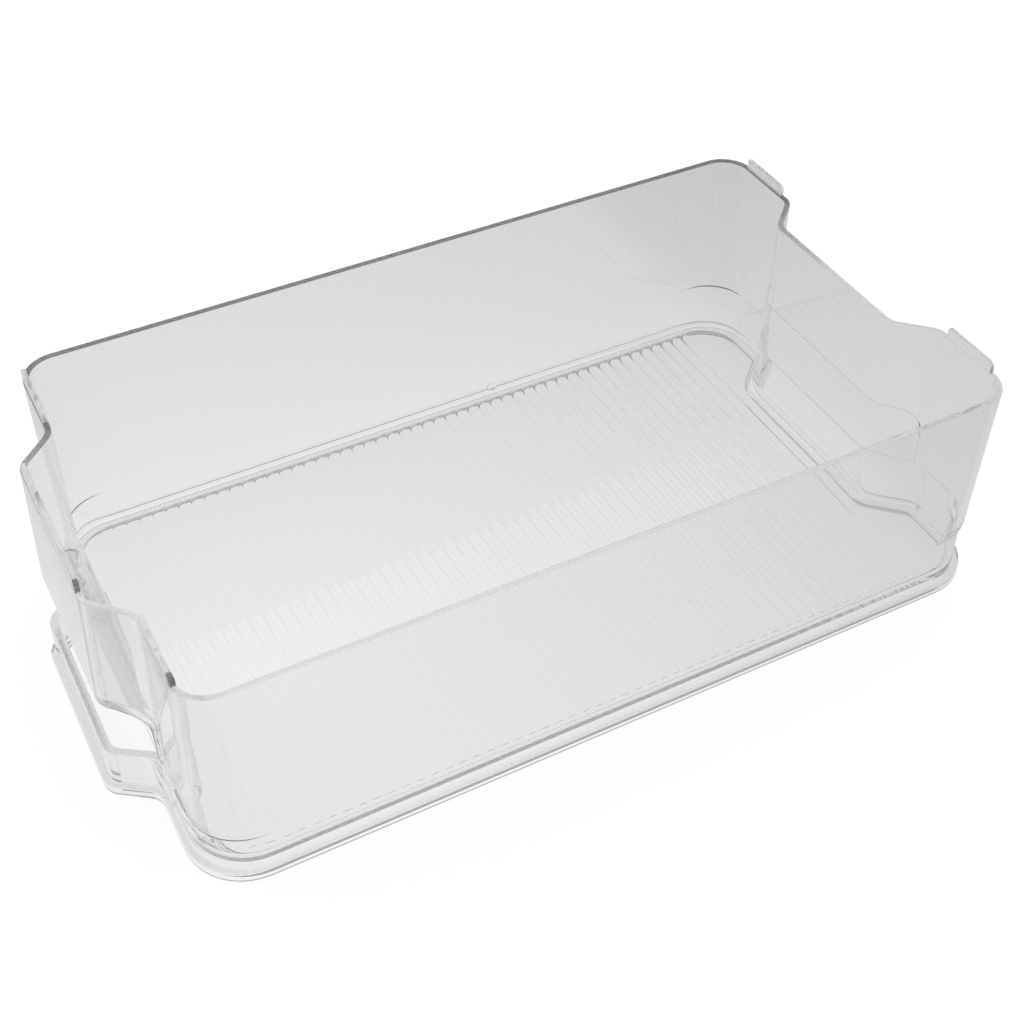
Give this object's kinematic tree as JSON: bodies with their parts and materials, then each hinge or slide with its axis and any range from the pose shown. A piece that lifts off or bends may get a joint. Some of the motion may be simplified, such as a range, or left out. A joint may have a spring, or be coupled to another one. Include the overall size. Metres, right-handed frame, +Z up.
{
  "type": "fridge storage bin",
  "caption": "Clear open-topped fridge bin with a ribbed raised floor, a bulged front with a finger window and handle below it, a matching back recess, lugs on the rim and a foot flange.",
  "frame": {"origin": "centre of the bounding box in plan, on the ground under the foot", "axes": "-Y is the front with the finger handle, +Y the back with the recess, +Z up, +X the right-hand long wall seen from the front"},
  "size_m": [0.2054, 0.3706, 0.107],
  "materials": {
    "clear_plastic": "clear, polished mould surface"
  },
  "bodies": {
    "root": {"back_left_corner": "clear_plastic", "back_left_foot_corner": "clear_plastic", "back_left_foot_rail": "clear_plastic", "back_left_lug": "clear_plastic", "back_left_panel": "clear_plastic", "back_left_plinth": "clear_plastic", "back_recess_face": "clear_plastic", "back_recess_foot_rail": "clear_plastic", "back_recess_left_step": "clear_plastic", "back_recess_plinth": "clear_plastic", "back_recess_right_step": "clear_plastic", "back_right_corner": "clear_plastic", "back_right_foot_corner": "clear_plastic", "back_right_foot_rail": "clear_plastic", "back_right_lug": "clear_plastic", "back_right_panel": "clear_plastic", "back_right_plinth": "clear_plastic", "finger_pocket_roof": "clear_plastic", "floor_fillet": "clear_plastic", "floor_panel": "clear_plastic", "floor_ribs": "clear_plastic", "front_bulge_face": "clear_plastic", "front_bulge_left_step": "clear_plastic", "front_bulge_right_step": "clear_plastic", "front_left_corner": "clear_plastic", "front_left_foot_corner": "clear_plastic", "front_left_foot_rail": "clear_plastic", "front_left_lug": "clear_plastic", "front_left_panel": "clear_plastic", "front_left_plinth": "clear_plastic", "front_lower_wall": "clear_plastic", "front_middle_lug": "clear_plastic", "front_right_corner": "clear_plastic", "front_right_foot_corner": "clear_plastic", "front_right_foot_rail": "clear_plastic", "front_right_lug": "clear_plastic", "front_right_panel": "clear_plastic", "front_right_plinth": "clear_plastic", "gate_mark": "clear_plastic", "handle_bar": "clear_plastic", "handle_left_arm": "clear_plastic", "handle_right_arm": "clear_plastic", "left_foot_rail": "clear_plastic", "left_side_wall": "clear_plastic", "right_foot_rail": "clear_plastic", "right_side_wall": "clear_plastic"}
  },
  "joints": []
}
